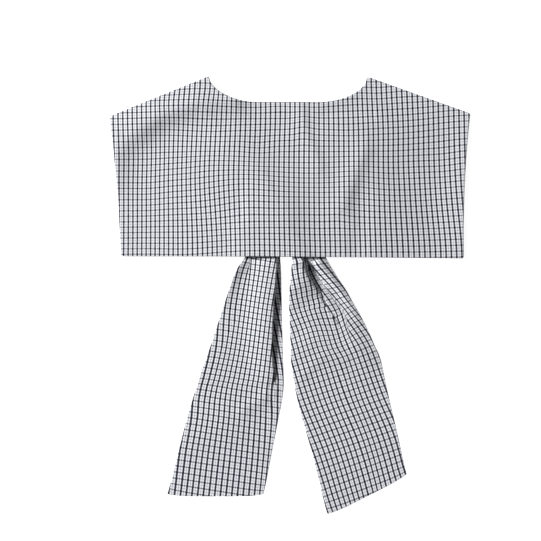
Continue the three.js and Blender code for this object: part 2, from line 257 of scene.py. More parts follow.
def panel_columns():
    """Places across the top edge, closer together at the sides and at the neck points."""
    first = SHOULDER_LEFT[0] + CORNER_CUT
    last = SHOULDER_RIGHT[0] - CORNER_CUT
    curve = NECK_CURVE * np.linspace(0, 1, NECK_CURVE_STEPS + 1)[1:] ** NECK_CROWDING
    return np.concatenate(
        [
            first + RIM_STOPS,
            spaced(first + RIM_STOPS[-1], NECK_LEFT[0]),
            NECK_LEFT[0] + curve,
            spaced(NECK_LEFT[0] + NECK_CURVE, NECK_RIGHT[0] - NECK_CURVE),
            NECK_RIGHT[0] - curve[-2::-1],
            [NECK_RIGHT[0]],
            spaced(NECK_RIGHT[0], last - RIM_STOPS[-1]),
            last - RIM_STOPS[-2::-1],
        ]
    )


def between_rims(length):
    """Distances along a length, closer together at both its ends."""
    inner = spaced(RIM_STOPS[-1], length - RIM_STOPS[-1])
    return np.concatenate([RIM_STOPS, inner, length - RIM_STOPS[-2::-1]])


def spread(columns, top, bottom, left, right, length):
    """X and Y of a sheet's mesh between four edges. The arrays' first index is the column."""
    corners = (columns[0] - CORNER_CUT, columns[-1] + CORNER_CUT)
    top_x, row = np.meshgrid(columns, between_rims(length - 2 * CORNER_CUT), indexing="ij")
    across = (top_x - columns[0]) / (columns[-1] - columns[0])
    down = (row + CORNER_CUT) / length
    inset = rounded_inset(row + CORNER_CUT) + rounded_inset(length - CORNER_CUT - row)
    bottom_corners = (left(1), right(1))
    bottom_x = mix(bottom_corners[0] + CORNER_CUT, bottom_corners[1] - CORNER_CUT, across)
    top_inset = rounded_inset(np.minimum(top_x - corners[0], corners[1] - top_x))
    bottom_inset = rounded_inset(np.minimum(bottom_x - bottom_corners[0], bottom_corners[1] - bottom_x))
    x = mix(left(down) + inset, right(down) - inset, across)
    y = mix(top(top_x) - top_inset, bottom(bottom_x) + bottom_inset, row / row.max())
    return np.stack([x, y], -1)


def border_of(grid):
    """The rim of a grid of points, once round."""
    return np.concatenate([grid[:-1, 0], grid[-1, :-1], grid[:0:-1, -1], grid[0, :0:-1]])


def to_edge(places):
    """How far a sheet's places lie inside its rim, and which way out the nearest rim faces."""
    start = border_of(places)
    line = np.roll(start, -1, axis=0) - start
    length = np.maximum(np.linalg.norm(line, axis=1), SHORTEST)
    normal = np.stack([-line[:, 1], line[:, 0]], -1) / length[:, None]
    distance = np.empty(places.shape[:2])
    outward = np.empty_like(places)
    for column, part in enumerate(places):
        offset = part[:, None] - start
        along = np.clip((offset * line).sum(2) / length**2, 0, 1)
        gap = np.linalg.norm(offset - along[..., None] * line, axis=2)
        nearest = gap.argmin(1)
        distance[column] = gap.min(1)
        outward[column] = normal[nearest]
    return distance, outward


def fold_height(fold, x, y):
    """Height of a fold: full on its line, falling off to either side and past its ends."""
    place = np.stack([x, y], -1)
    nearest = np.full(x.shape, np.inf)
    width = np.ones(x.shape)
    height = np.zeros(x.shape)
    heights = np.broadcast_to(fold["height"], len(fold["line"]))
    pairs = zip(fold["line"][:-1], fold["line"][1:], heights[:-1], heights[1:])
    for start, end, first, last in pairs:
        line = np.subtract(end, start)
        offset = place - start
        along = np.clip((offset @ line) / (line @ line), 0, 1)
        distance = np.linalg.norm(offset - along[..., None] * line, axis=-1)
        turn = line[0] * offset[..., 1] - line[1] * offset[..., 0]
        side = np.where(turn > 0, fold["left"], fold["right"])
        closer = distance < nearest
        width = np.where(closer, side, width)
        height = np.where(closer, mix(first, last, along), height)
        nearest = np.minimum(distance, nearest)
    return height * np.exp(-((nearest / width) ** 2))


def relief(folds, x, y):
    """Height of all the folds together."""
    return sum(fold_height(fold, x, y) for fold in folds)


def dragged(counts, drags, x, y):
    """The counts of a check, shifted by each drag near its place."""
    for drag_x, drag_y, reach_x, reach_y, across, along in drags:
        far = ((x - drag_x) / reach_x) ** 2 + ((y - drag_y) / reach_y) ** 2
        counts = counts + np.exp(-far)[..., None] * (across, along)
    return counts


def rim_lift(x, y):
    """How far the raised rims lift the cloth: by a share of their height along the seam itself."""
    below_shoulder = shoulder_line(x) - y
    full = smooth(below_shoulder, 0, RIM_WIDTH) * smooth(x - SHOULDER_LEFT[0], 0, SIDE_RIM_WIDTH)
    return relief(RAISED_RIMS, x, y) * mix(RIM_SHARE, 1, full)


def panel_level(x, y):
    """Height of the front panel's underside above the ground."""
    end = np.where(x < 0, CROWN_END_LEFT, CROWN_END_RIGHT)
    across = 1 - smooth(np.abs(x), CROWN_FLAT_HALF, end)
    below_shoulder = shoulder_line(x) - y
    shoulder = smooth(below_shoulder, 0, SHOULDER_SLOPE)
    crown = across * mix(1, shoulder, smooth(np.abs(x), *NECK_BLEND))
    inside = smooth(below_shoulder, 0, FOLD_FADE) * smooth(end - np.abs(x), 0, FOLD_FADE)
    return SEAM_LEVEL + CROWN * crown + rim_lift(x, y) + relief(PANEL_FOLDS, x, y) * inside


def straight_check(x, y):
    return np.stack([(x - CHECK_START[0]) / CHECK_ACROSS, (CHECK_START[1] - y) / CHECK_ALONG], -1)


def cloth_piece(name, over, under, chart_over, chart_under, material):
    """A closed sheet from two grids of points that share their rim. Columns go to the right."""
    columns, rows = over.shape[:2]
    index = np.arange(columns * rows).reshape(columns, rows)
    corners = [index[:-1, :-1], index[:-1, 1:], index[1:, 1:], index[1:, :-1]]
    quads = np.stack(corners, -1).reshape(-1, 4)
    turned = quads[:, ::-1]
    shared = np.arange(2 * columns * rows)
    shared[border_of(index) + columns * rows] = border_of(index)
    faces = shared[np.concatenate([quads, turned + columns * rows])]
    used, faces = np.unique(faces, return_inverse=True)
    points = np.concatenate([over.reshape(-1, 3), under.reshape(-1, 3)])[used] * MM
    charts = np.concatenate([chart_over.reshape(-1, 2)[quads], chart_under.reshape(-1, 2)[turned]])
    mesh = bpy.data.meshes.new(name)
    mesh.from_pydata(points, [], faces.reshape(-1, 4).tolist())
    mesh.uv_layers.new(name="check").uv.foreach_set("vector", charts.astype(np.float32).ravel())
    mesh.polygons.foreach_set("use_smooth", np.ones(len(mesh.polygons), bool))
    mesh.materials.append(material)
    piece = bpy.data.objects.new(name, mesh)
    bpy.context.scene.collection.objects.link(piece)
    return piece


def new_group(name, inputs, outputs):
    """A shader node group with named inputs, each with its kind and starting value."""
    group = bpy.data.node_groups.new(name, "ShaderNodeTree")
    for label, kind, value in inputs:
        socket = group.interface.new_socket(label, in_out="INPUT", socket_type=kind)
        if value is not None:
            socket.default_value = value
    for label, kind in outputs:
        group.interface.new_socket(label, in_out="OUTPUT", socket_type=kind)
    return group, group.nodes.new("NodeGroupInput"), group.nodes.new("NodeGroupOutput")


def feed(tree, socket, value):
    """Links a socket to another, or gives it a plain value."""
    if isinstance(value, bpy.types.NodeSocket):
        tree.links.new(value, socket)
    else:
        socket.default_value = value


def calculate(tree, operation, *values):
    """A Math node, fed by sockets or plain numbers."""
    node = tree.nodes.new("ShaderNodeMath")
    node.operation = operation
    for socket, value in zip(node.inputs, values):
        feed(tree, socket, value)
    return node.outputs[0]


def stripe(tree, count, place, width, soft):
    """A mask that is 1 in a stripe at one place of each count, with soft edges."""
    wrapped = calculate(tree, "FRACT", calculate(tree, "ADD", count, 0.5 - place))
    away = calculate(tree, "ABSOLUTE", calculate(tree, "SUBTRACT", wrapped, 0.5))
    half = calculate(tree, "MULTIPLY", width, 0.5)
    node = tree.nodes.new("ShaderNodeMapRange")
    node.interpolation_type = "SMOOTHSTEP"
    feed(tree, node.inputs["Value"], away)
    feed(tree, node.inputs["From Min"], calculate(tree, "SUBTRACT", half, soft))
    feed(tree, node.inputs["From Max"], calculate(tree, "ADD", half, soft))
    feed(tree, node.inputs["To Min"], 1)
    feed(tree, node.inputs["To Max"], 0)
    return node.outputs["Result"]


# Where the fine lines lie in each count, whose stripe and weft line are at 0.
FINE_PLACE = 0.5


def yarn_check_group():
    """Yarn-dyed check: dark warp stripes, finer weft lines, darker spots where the two cross, and
    faint lines half way between. The yarn is a little uneven."""
    group, source, result = new_group(
        "yarn_check",
        [
            ("Counts", "NodeSocketVector", None),
            ("Ground", "NodeSocketColor", None),
            ("Dark yarn", "NodeSocketColor", None),
            ("Warp stripe width", "NodeSocketFloat", 0.335),
            ("Weft line width", "NodeSocketFloat", 0.21),
            ("Fine line width", "NodeSocketFloat", 0.15),
            ("Crossing width", "NodeSocketFloat", 0.46),
            ("Crossing height", "NodeSocketFloat", 0.3),
            ("Warp darkness", "NodeSocketFloat", 0.945),
            ("Weft darkness", "NodeSocketFloat", 0.54),
            ("Fine warp darkness", "NodeSocketFloat", 0.4),
            ("Fine weft darkness", "NodeSocketFloat", 0.28),
            ("Crossing darkness", "NodeSocketFloat", 0.36),
            ("Softness", "NodeSocketFloat", 0.045),
            ("Yarn unevenness", "NodeSocketFloat", 0.15),
        ],
        [("Color", "NodeSocketColor")],
    )
    split = group.nodes.new("ShaderNodeSeparateXYZ")
    feed(group, split.inputs[0], source.outputs["Counts"])
    across, along = split.outputs[0], split.outputs[1]
    soft = source.outputs["Softness"]
    lines = [
        (across, 0, "Warp stripe width", "Warp darkness"),
        (along, 0, "Weft line width", "Weft darkness"),
        (across, FINE_PLACE, "Fine line width", "Fine warp darkness"),
        (along, FINE_PLACE, "Fine line width", "Fine weft darkness"),
    ]
    covers = []
    for count, place, width, darkness in lines:
        mask = stripe(group, count, place, source.outputs[width], soft)
        covers.append(calculate(group, "MULTIPLY", mask, source.outputs[darkness]))
    warp, weft, fine_warp, fine_weft = covers
    light = calculate(group, "SUBTRACT", 1, warp)
    light = calculate(group, "MULTIPLY", light, calculate(group, "SUBTRACT", 1, fine_warp))
    light = calculate(group, "MULTIPLY", light, calculate(group, "SUBTRACT", 1, fine_weft))
    crossing = calculate(
        group,
        "MULTIPLY",
        stripe(group, across, 0, source.outputs["Crossing width"], soft),
        stripe(group, along, 0, source.outputs["Crossing height"], soft),
    )
    crossing = calculate(group, "MULTIPLY", crossing, source.outputs["Crossing darkness"])
    light = calculate(group, "SUBTRACT", calculate(group, "SUBTRACT", light, weft), crossing)
    light = calculate(group, "MAXIMUM", light, 0)
    uneven = group.nodes.new("ShaderNodeTexNoise")
    uneven.inputs["Scale"].default_value = 2.3
    uneven.inputs["Detail"].default_value = 3
    feed(group, uneven.inputs["Vector"], source.outputs["Counts"])
    change = calculate(group, "SUBTRACT", uneven.outputs["Fac"], 0.5)
    change = calculate(group, "MULTIPLY", change, source.outputs["Yarn unevenness"])
    dark = calculate(group, "SUBTRACT", 1, light)
    dark = calculate(group, "MULTIPLY", dark, calculate(group, "ADD", 1, change))
    colors = group.nodes.new("ShaderNodeMix")
    colors.data_type = "RGBA"
    sockets = {socket.identifier: socket for socket in [*colors.inputs, *colors.outputs]}
    feed(group, sockets["Factor_Float"], dark)
    feed(group, sockets["A_Color"], source.outputs["Ground"])
    feed(group, sockets["B_Color"], source.outputs["Dark yarn"])
    feed(group, result.inputs["Color"], sockets["Result_Color"])
    return group


def thread_round(tree, threads):
    """How high a thread's round back stands, for a running count of threads."""
    wave = calculate(tree, "SINE", calculate(tree, "MULTIPLY", threads, math.pi))
    return calculate(tree, "ABSOLUTE", wave)


def plain_weave_group():
    """Threads of a plain weave as a height: warp and weft take turns on top."""
    group, source, result = new_group(
        "plain_weave",
        [
            ("Counts", "NodeSocketVector", None),
            ("Warp threads", "NodeSocketFloat", 24),
            ("Weft threads", "NodeSocketFloat", 26),
        ],
        [("Height", "NodeSocketFloat")],
    )
    split = group.nodes.new("ShaderNodeSeparateXYZ")
    feed(group, split.inputs[0], source.outputs["Counts"])
    warp = calculate(group, "MULTIPLY", split.outputs[0], source.outputs["Warp threads"])
    weft = calculate(group, "MULTIPLY", split.outputs[1], source.outputs["Weft threads"])
    floors = calculate(group, "ADD", calculate(group, "FLOOR", warp), calculate(group, "FLOOR", weft))
    warp_on_top = calculate(group, "ABSOLUTE", calculate(group, "MODULO", floors, 2))
    weft_on_top = calculate(group, "SUBTRACT", 1, warp_on_top)
    warp_height = calculate(group, "MULTIPLY", warp_on_top, thread_round(group, warp))
    weft_height = calculate(group, "MULTIPLY", weft_on_top, thread_round(group, weft))
    feed(group, result.inputs["Height"], calculate(group, "ADD", warp_height, weft_height))
    return group


yarn_check = yarn_check_group()
plain_weave = plain_weave_group()

# The pale and the dark yarn, and how far the round backs of the threads stand out.
GROUND = (0.787, 0.796, 0.842)
DARK_YARN = (0.0115, 0.0122, 0.026)
THREAD_RELIEF_METRES = 0.0001


def check_cotton(name, **values):
    """The finish of one cut of the check cotton: matt, with a little nap that catches the light."""
    material = bpy.data.materials.new(name)
    material.use_nodes = True
    tree = material.node_tree
    shader = tree.nodes["Principled BSDF"]
    shader.inputs["Roughness"].default_value = 0.92
    shader.inputs["Specular IOR Level"].default_value = 0.25
    shader.inputs["Sheen Weight"].default_value = 0.06
    shader.inputs["Sheen Roughness"].default_value = 0.5
    counts = tree.nodes.new("ShaderNodeUVMap")
    counts.uv_map = "check"
    check = tree.nodes.new("ShaderNodeGroup")
    check.node_tree = yarn_check
    check.inputs["Ground"].default_value = (*GROUND, 1)
    check.inputs["Dark yarn"].default_value = (*DARK_YARN, 1)
    for label, value in values.items():
        check.inputs[label.replace("_", " ").capitalize()].default_value = value
    feed(tree, check.inputs["Counts"], counts.outputs["UV"])
    feed(tree, shader.inputs["Base Color"], check.outputs["Color"])
    weave = tree.nodes.new("ShaderNodeGroup")
    weave.node_tree = plain_weave
    feed(tree, weave.inputs["Counts"], counts.outputs["UV"])
    bump = tree.nodes.new("ShaderNodeBump")
    bump.inputs["Strength"].default_value = 0.35
    bump.inputs["Distance"].default_value = THREAD_RELIEF_METRES
    feed(tree, bump.inputs["Height"], weave.outputs["Height"])
    feed(tree, shader.inputs["Normal"], bump.outputs["Normal"])
    return material


panel_cotton = check_cotton("check_cotton_panel")


def build_front_panel():
    """The panel between its four edges, at its own level, with its edges rolled over."""
    length = SHOULDER_LEFT[1] - HEM_LEFT[1]
    places = spread(panel_columns(), top_edge, hem_edge, left_edge, right_edge, length)
    x, y = places[..., 0], places[..., 1]
    inside, outward = to_edge(places)
    shoulder = smooth(outward[..., 1], *SHOULDER_FACING) * smooth(np.abs(x), *SHOULDER_FROM)
    roll = mix(EDGE_ROLL, SHOULDER_ROLL, shoulder)
    seam = mix(EDGE_SEAM, SHOULDER_SEAM, shoulder)
    level = panel_level(x, y)
    over_part = mix(seam, 1, quarter_round(inside / roll))
    under_part = seam * (1 - quarter_round(inside / EDGE_ROLL))
    over = np.stack([x, y, level + PANEL_THICKNESS * over_part], -1)
    under = np.stack([x, y, level + PANEL_THICKNESS * under_part], -1)
    flat = places + outward * rolled_away(inside, roll)[..., None]
    chart = dragged(straight_check(flat[..., 0], flat[..., 1]), PANEL_DRAGS, x, y)
    return cloth_piece("front_panel_cloth", over, under, chart, chart + UNDERSIDE_SHIFT, panel_cotton)


front_panel = build_front_panel()
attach(front_panel, "root")
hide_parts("front_panel")


# Back halves: the same double cotton, one under each side of the front panel and joined to it at
# the shoulders. They lie flat on the ground, open down the middle, and nothing of them shows from
# above.

# Each half reaches to the middle, less half the gap. Its neckline is deeper than the front's, its
# hem is shorter, and its outer edges lie a little further in. Along the seam it is lifted with the
# front's raised rims.
BACK_THICKNESS = 2
CENTRE_GAP = 6
BACK_NECK_EXTRA = 14
BACK_HEM_RISE = 10
BACK_INSET = 1
BACK_RIM_WIDTH = 34

# The mesh is coarser than the front's, and lines that would fall this close together are one.
BACK_MESH_STEP = 6
SAME_LINE = 0.01


def back_columns(start, end, neck_x):
    """Places across a half's top edge, closer together at both sides and at the neck point."""
    curve = NECK_CURVE * np.linspace(0, 1, NECK_CURVE_STEPS // 2 + 1)[1:] ** NECK_CROWDING
    near_neck = neck_x - np.sign(neck_x) * curve
    rims = np.concatenate([start + RIM_STOPS, end - RIM_STOPS])
    between = spaced(start + RIM_STOPS[-1], end - RIM_STOPS[-1], BACK_MESH_STEP)
    stops = np.concatenate([rims, [neck_x], near_neck, between])
    stops = np.sort(stops[(stops >= start) & (stops <= end)])
    return stops[np.concatenate([[True], np.diff(stops) > SAME_LINE])]


def build_back_half(name, side):
    """A plain half between its own edges: side -1 is the left one, and 1 the right one."""

    def top(x):
        return top_edge(x, NECK_DEPTH + BACK_NECK_EXTRA) - BACK_INSET

    def bottom(x):
        return hem_edge(x) + BACK_HEM_RISE

    def centre(down):
        return np.full(np.shape(down), side * CENTRE_GAP / 2)

    def outer(down):
        edge = left_edge(down) if side < 0 else right_edge(down)
        return edge - side * BACK_INSET

    left, right = (outer, centre) if side < 0 else (centre, outer)
    neck_x = NECK_LEFT[0] if side < 0 else NECK_RIGHT[0]
    columns = back_columns(left(0) + CORNER_CUT, right(0) - CORNER_CUT, neck_x)
    length = SHOULDER_LEFT[1] - HEM_LEFT[1] - BACK_HEM_RISE
    places = spread(columns, top, bottom, left, right, length)
    inside, outward = to_edge(places)
    x, y = places[..., 0], places[..., 1]
    at_seam = 1 - smooth(shoulder_line(x) - y, 0, BACK_RIM_WIDTH)
    level = rim_lift(x, y) * at_seam
    lift = BACK_THICKNESS * EDGE_SEAM
    rounding = quarter_round(inside / EDGE_ROLL)
    over = np.dstack([places, level + mix(lift, BACK_THICKNESS, rounding)])
    under = np.dstack([places, level + mix(lift, 0, rounding)])
    flat = places + outward * rolled_away(inside, EDGE_ROLL)[..., None]
    chart = straight_check(flat[..., 0], flat[..., 1])
    return cloth_piece(name, over, under, chart, chart + UNDERSIDE_SHIFT, panel_cotton)


for label, side in (("left", -1), ("right", 1)):
    half = build_back_half(f"back_half_{label}_cloth", side)
    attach(half, "root")
    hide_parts(f"back_half_{label}")


# Ties: each is a straight band of double check cotton, 148 mm wide, turned at the edges, gathered
# into a pleat and sewn inside a back half. The left tie ends square, the right one on a slant.

# One row for each cross-section, from the sewn end to the free end. The outer edge (ox, oy) and
# the inner edge (ix, iy) are where the cloth ends. The cloth comes in from the outer edge, folds
# at `strip` from the inner edge, tucks back `overlap` under itself and runs on to the inner edge.
# Where overlap is below nought the pleat is open. `rise` is the height of one layer in the pleat,
# `base` the height of what the tie lies on, `swell` a soft hump.
TIE_COLUMNS = "ox oy ix iy strip overlap rise base swell".split()
TIE_LEFT = [
    (-46, 114, -11, 114, 5, 12, 1.3, 2.3, 0),
    (-59.5, 78, -14, 78, 5, 12, 1.3, 2.3, 0),
    (-71.5, 62, -15.5, 62, 5, 12, 1.3, 0.3, 0),
    (-88, 36, -14, 36, 8, 12, 1.6, 0, 0),
    (-106, -16, -13, -16, 13, 11, 1.8, 0, 0),
    (-127, -80, -11.5, -80, 17, 7, 1.9, 0, 0),
    (-144, -128, -10, -128, 16, 2, 1.6, 0, 0),
    (-149.5, -146, -10, -146, 17, -6, 0.6, 0, 0),
    (-156.5, -168, -12.5, -168, 18, -6, 0.2, 0, 0.8),
    (-166, -200, -18.8, -200, 18, -6, 0, 0, 1.2),
    (-180.5, -258, -30, -258, 18, -6, 0, 0, 0),
    (-196.5, -322, -42.3, -322, 18, -6, 0, 0, 0),
]
TIE_RIGHT = [
    (43, 114, 9, 114, 12, 10, 1.3, 2.3, 0),
    (51, 78, 5.7, 78, 16, 10, 1.3, 2.3, 0),
    (58, 61, 3.5, 61, 23, 9, 1.3, 0.3, 0),
    (73, 34.5, 1.5, 34.5, 34, 9, 1.1, 0, 0),
    (90, 9, -1, 9, 51, 6, 1, 0, 0),
    (100.5, -10, -1.5, -10, 60, 1.5, 0.7, 0, 0.6),
    (111.5, -29, -1, -29, 68, -6, 0.35, 0, 1.5),
    (125, -55, 0, -55, 76, -8, 0.2, 0, 2),
    (136, -80.5, 1, -82, 80, -8, 0.1, 0, 2),
    (145.8, -104, 2.5, -112, 80, -8, 0, 0, 0.8),
    (157.3, -157, 14, -176, 80, -8, 0, 0, 0),
    (172.3, -221, 37.5, -260, 80, -8, 0, 0, 0),
    (187.3, -290, 60, -354, 80, -8, 0, 0, 0),
]

CHECK_COLUMNS = "crease out crease_out crease_in fold tuck inner out_along in_along".split()
CHECK_LEFT = [
    (25, -2.6, 1.1, 1.2, 5, 12.2, 12.8, -40.5, -42.8),
    (36, -2.7, 0.2, 0.5, 5, 12.5, 13.1, -36, -38.3),
    (46.7, -2.5, -1.5, 0, 5.05, 12.6, 13.2, -34.0, -36.3),
    (52, -3.4, -0.8, -0.2, 5.5, 11.8, 12.7, -30.8, -33.1),
    (65, -4.3, -1.1, -0.9, 6.2, 10.6, 12, -24.4, -26.8),
    (98, -6, -4.2, -4, 6.9, 8.9, 10.8, -17.0, -19.4),
    (115, -6.7, -4.8, -4.6, 7.9, 8.2, 10.1, -11.5, -13.9),
    (120, -6.8, -4.8, -4.6, 8.1, 8.1, 10.0, -9.4, -11.8),
    (125, -7.1, -5.2, -5, 7.8, 7.8, 9.8, -7.0, -9.4),
    (128, -7.8, -5.9, -5.7, 7.1, 7.1, 9.2, -3.5, -5.9),
    (131, -8.3, -6.4, -6.2, 6.2, 6.2, 8.6, 2.5, 0.1),
    (135, -9.2, -7.3, -7.1, 5.5, 5.5, 7.8, 9.1, 6.7),
]
CHECK_RIGHT = [
    (15, 13.8, 10.7, 6.3, 5.8, 2, -1.2, -39.2, -42.3),
    (20, 13.7, 11, 6.3, 5.8, 2.2, -0.8, -34.9, -38.1),
    (24.8, 13.9, 11.3, 6.3, 5.9, 2.4, -0.65, -33.1, -36.4),
    (41.4, 13.5, 10.65, 6.8, 6.1, 3.6, -1.35, -29.6, -33.3),
    (60.5, 13.2, 9.9, 6.9, 6.05, 4.1, -2.25, -26.0, -30.2),
    (75.5, 13, 9.6, 7.1, 5.4, 4.75, -2.75, -23.6, -27.8),
    (88, 12.4, 9.3, 7.5, 5.1, 5.1, -3.4, -21.0, -25.4),
    (93, 11.4, 8, 7.2, 5.2, 5.2, -4.6, -17.8, -22.7),
    (102, 11, 7.2, 7, 4.8, 4.8, -5.5, -14.8, -19.7),
    (105, 11, 6.53, 6.33, 3.4, 3.4, -6.25, -12.3, -16.3),
    (105, 10.1, 5.5, 5.3, 2.4, 2.4, -7.3, -6.6, -9.3),
    (105, 8.7, 4.7, 4.5, 1.5, 1.5, -8.4, -0.35, -1.0),
    (105, 8.2, 4, 3.8, 0.8, 0.8, -9.2, 6.6, 7.9),
]

# Half the crease's width, the thickness of a tie's double cloth, and the width of its edges' roll.
CREASE_HALF = 0.9
TIE_THICKNESS = 1.2
TIE_EDGE_ROLL = 2

# The free end's corners draw back by END_ROUND from its middle, and the edge bends to them over
# END_REACH of the tie's length. The squarer the end, the nearer the corners it starts to bend.
END_ROUND = 4
END_REACH = 30
END_SQUARENESS = 5

# How far the pleat's folds turn round, and the width beside the pleat over which the cloth comes
# down.
FOLD_TURN = 1.1
LEVEL_SLOPE = 42

# Mesh lines across a tie: from the outer edge to the pleat, for each part of its turns, and from
# there to the inner edge.
MAIN_STEPS = 56
TURN_STEPS = 5
INNER_STEPS = 44

# Folds of each tie. A fold of the flap lifts only the layer above the pleat. Under the hem the
# folds are pressed flat.
UNDER_HEM = (52, 66)
TIE_LEFT_FOLDS = [
    dict(
        line=[(-22, 60), (-24, -10), (-29, -85), (-32, -118)],
        left=19,
        right=44,
        height=[8.2, 6, 4.5, 2.6],
        flap=True,
    ),
    dict(
        line=[(-78, 56), (-93, 32), (-102, 8), (-109, -12)],
        left=12,
        right=6,
        height=[6.5, 5, 3, 1.5],
        flap=False,
    ),
    dict(line=[(-74, -180), (-50, -168), (-28, -152)], left=7, right=12, height=1.5, flap=False),
]
TIE_RIGHT_FOLDS = [
    dict(
        line=[(18.5, 58), (21.5, 46), (24.5, 36), (28, 28), (32.5, 22), (37, 15), (42, 8), (48, -1)],
        left=4.5,
        right=46,
        height=[20, 16, 15.5, 14, 12, 9.5, 7, 4.5],
        flap=False,
    ),
    dict(
        line=[(47, 50), (58, 37), (70, 23), (81, 9), (89, -3), (96, -15), (103, -27), (109, -40)],
        left=12,
        right=6.5,
        height=[8.5, 8.5, 8, 6, 4.5, 3.5, 2.7, 2],
        flap=True,
    ),
    dict(
        line=[(36, 46), (45, 31), (53, 17), (61, 4), (69, -7), (79, -20), (87, -31)],
        left=2.5,
        right=5,
        height=-1.5,
        flap=True,
    ),
    dict(line=[(35, -72), (80, -78), (130, -84)], left=18, right=24, height=3, flap=False),
    dict(line=[(21, -127), (56, -95), (88, -103)], left=9, right=9, height=1.2, flap=False),
]

# The gathers drag the right tie's check, in the same columns as the panel's drags.
TIE_RIGHT_DRAGS = [(75, -52, 24, 30, 0, -1.2)]


def through_rows(values, places):
    """Values that run smoothly through the rows of a table, at places between the rows."""
    last = len(values) - 1
    row = np.minimum(np.floor(places).astype(int), last - 1)
    a, b, c, d = (values[np.clip(row + k, 0, last)] for k in (-1, 0, 1, 2))
    part = (places - row).reshape(-1, *[1] * (values.ndim - 1))
    bend = ((c - a) * (1 - part) - (d - b) * part) / 2 - (c - b) * (1 - 2 * part)
    return mix(b, c, part) + bend * part * (1 - part)


def tie_places(table):
    """Places along a tie's table, a mesh step apart, with their distances from the sewn end and
    to the free end, and how far the free end's corners draw in there."""
    middle = np.array([((row[0] + row[2]) / 2, (row[1] + row[3]) / 2) for row in table])
    reach = np.concatenate([[0], np.cumsum(np.linalg.norm(np.diff(middle, axis=0), axis=1))])
    stops = between_rims(reach[-1])
    inset = rounded_inset(reach[-1] - stops + CORNER_CUT)
    return np.interp(stops, reach, np.arange(len(table))), stops, reach[-1] - stops, inset


def tie_profile(row, width, inset):
    """The cloth across a tie: its reach from the inner edge and its height in layers, section by
    section, and the form of its soft hump."""
    strip, tuck = row["strip"], row["strip"] + row["overlap"]
    folded = np.clip(row["overlap"] / (2 * FOLD_TURN), 0, 1)
    turn = FOLD_TURN * (2 * folded - 1)
    under = np.maximum(tuck, strip)
    part = between_rims(width.mean())
    part = np.interp(np.linspace(0, 1, MAIN_STEPS), np.linspace(0, 1, len(part)), part) / part[-1]
    main = mix((width - inset)[:, None], (strip + FOLD_TURN)[:, None], part)
    slope = np.minimum(LEVEL_SLOPE, width - under)
    layers = 2 * (1 - smooth(main, under[:, None], (under + slope)[:, None]))
    # The reach and the height in layers of the cloth as it turns under at the fold, runs back
    # below the flap, and turns again to lie flat.
    turns = [
        (strip + FOLD_TURN, 2),
        (strip, 1.5),
        (strip + turn, 1),
        ((strip + tuck) / 2, 1),
        (tuck - turn, 1),
        (tuck, 0.5),
        (tuck - FOLD_TURN, 0),
    ]
    stops = np.linspace(0, len(turns) - 1, TURN_STEPS * (len(turns) - 1) + 1)[1:]
    turned = through_rows(np.array([reach for reach, _ in turns]), stops).T
    turned_layers = through_rows(np.array([float(layer) for _, layer in turns]), stops)
    inner = mix((tuck - FOLD_TURN)[:, None], inset[:, None], part_inward(INNER_STEPS))
    reach = np.concatenate([main, turned, inner], 1)
    flat = np.zeros_like(inner)
    layers = np.concatenate([layers, np.broadcast_to(turned_layers, turned.shape), flat], 1)
    hump = np.concatenate([np.sin(np.pi * part) ** 2, np.zeros(reach.shape[1] - len(part))])
    return reach, layers, hump


def part_inward(steps):
    """Parts of the way to an edge, without the start, closer together at the edge."""
    part = np.arange(1, steps + 1) / steps
    return part * (2 - part)


def along_path(points):
    """Running length of each section's cloth, from its first point."""
    step = np.linalg.norm(np.diff(points, axis=1), axis=2)
    return np.concatenate([np.zeros((len(points), 1)), np.cumsum(step, axis=1)], 1)


def section_counts(row, check, reach, run):
    """Counts across on one section, spread by the cloth's own length between the known places."""
    main_reach, main_run = reach[MAIN_STEPS - 1 :: -1], run[MAIN_STEPS - 1 :: -1]
    inner_reach, inner_run = reach[: -INNER_STEPS - 2 : -1], run[: -INNER_STEPS - 2 : -1]
    shown = min(row["strip"], row["strip"] + row["overlap"] - FOLD_TURN)
    crease_sides = (check["crease"] + CREASE_HALF, check["crease"] - CREASE_HALF)
    crease = np.interp(crease_sides, main_reach, main_run)
    places = [0, *crease, main_run[0], np.interp(shown, inner_reach, inner_run), run[-1]]
    at_shown = mix(check["inner"], check["tuck"], shown / row["strip"])
    counts = ("out", "crease_out", "crease_in", "fold")
    return np.interp(run, places, [*(check[name] for name in counts), at_shown, check["inner"]])


def tie_chart(rows, checks, reach, run):
    across = np.empty(run.shape)
    for k, line in enumerate(run):
        row = {name: values[k] for name, values in rows.items()}
        check = {name: values[k] for name, values in checks.items()}
        across[k] = section_counts(row, check, reach[k], line)
    inner, out = checks["inner"][:, None], checks["out"][:, None]
    part = (across - inner) / (out - inner)
    along = mix(checks["in_along"][:, None], checks["out_along"][:, None], part)
    return np.stack([across, along], -1)


def columns_at(table, names, places):
    """Each named column of a table, at places between its rows."""
    values = through_rows(np.array(table, float), places)
    return {name: values[:, k] for k, name in enumerate(names)}


def grid_normals(points):
    """Unit normals of a grid of points, up where the grid lies flat, columns going right."""
    across = np.gradient(points, axis=0)
    down = np.gradient(points, axis=1)
    normal = np.cross(down, across)
    return normal / np.maximum(np.linalg.norm(normal, axis=2, keepdims=True), SHORTEST)


